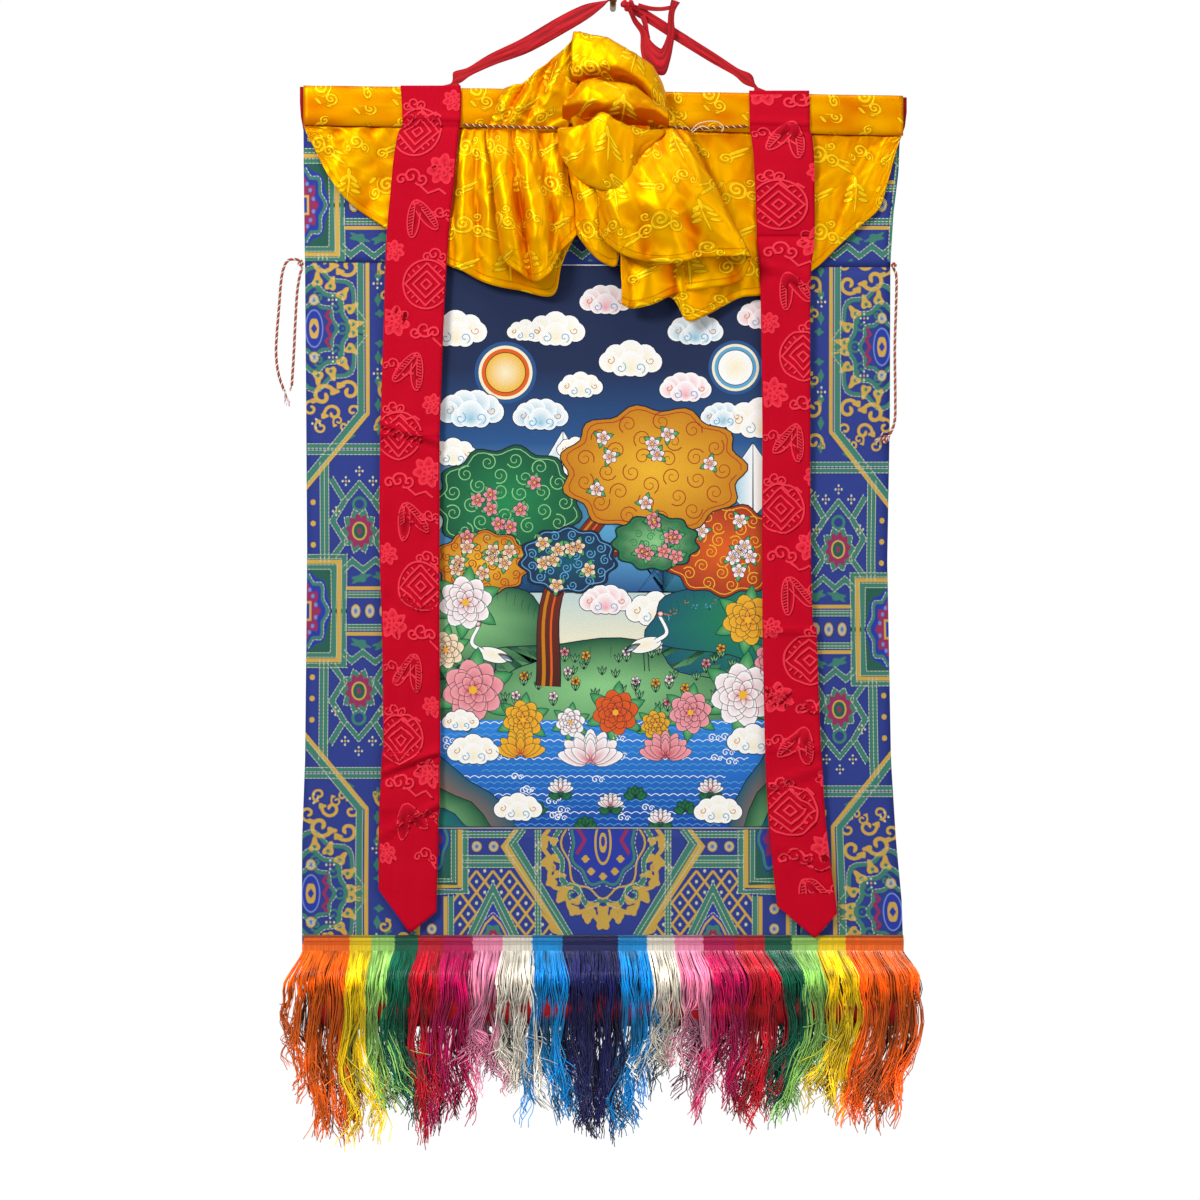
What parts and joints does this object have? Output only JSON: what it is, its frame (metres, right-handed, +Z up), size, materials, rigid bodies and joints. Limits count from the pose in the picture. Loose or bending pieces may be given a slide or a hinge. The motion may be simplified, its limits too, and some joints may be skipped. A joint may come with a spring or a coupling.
{
  "type": "thangka scroll painting on a wall hook",
  "caption": "A scroll painting in a blue brocade frame, with a yellow silk cover gathered up, red ribbons and a many-coloured fringe, hanging by a red tape from a plain wall hook.",
  "frame": {"origin": "middle of the hook's end at the wall", "axes": "+Z up, +Y into the wall, so that the front of the picture looks along -Y, +X to the right as seen from the front"},
  "size_m": [0.5166, 0.064, 0.924],
  "materials": {
    "hook_metal": "dark, satin",
    "tape_red": "woven tape, matt",
    "silk_yellow": "damask silk, glossy",
    "cloth_red": "plain cotton, matt",
    "brocade_blue": "brocade with green and gold threads",
    "picture_print": "printed cotton, matt",
    "ribbon_red": "damask satin",
    "cord_twist": "twisted threads in red, white, green and yellow",
    "fringe_yarn": "rayon yarn in coloured groups, silky"
  },
  "bodies": {
    "root": {"wall_hook": "hook_metal", "strap_left": "tape_red", "strap_right": "tape_red", "strap_knot": "tape_red", "bow_band": "tape_red", "bow_eye": "tape_red", "bow_strand": "tape_red", "top_sleeve": "silk_yellow", "silk_cover": "silk_yellow", "backing_cloth": "cloth_red", "bottom_sleeve": "cloth_red", "brocade_top": "brocade_blue", "brocade_left": "brocade_blue", "brocade_right": "brocade_blue", "brocade_bottom": "brocade_blue", "picture_panel": "picture_print", "ribbon_left": "ribbon_red", "ribbon_right": "ribbon_red", "veil_cord_left": "cord_twist", "veil_cord_right": "cord_twist", "side_cord_left_outer": "cord_twist", "side_cord_left_inner": "cord_twist", "side_cord_right": "cord_twist", "fringe": "fringe_yarn"}
  },
  "joints": []
}
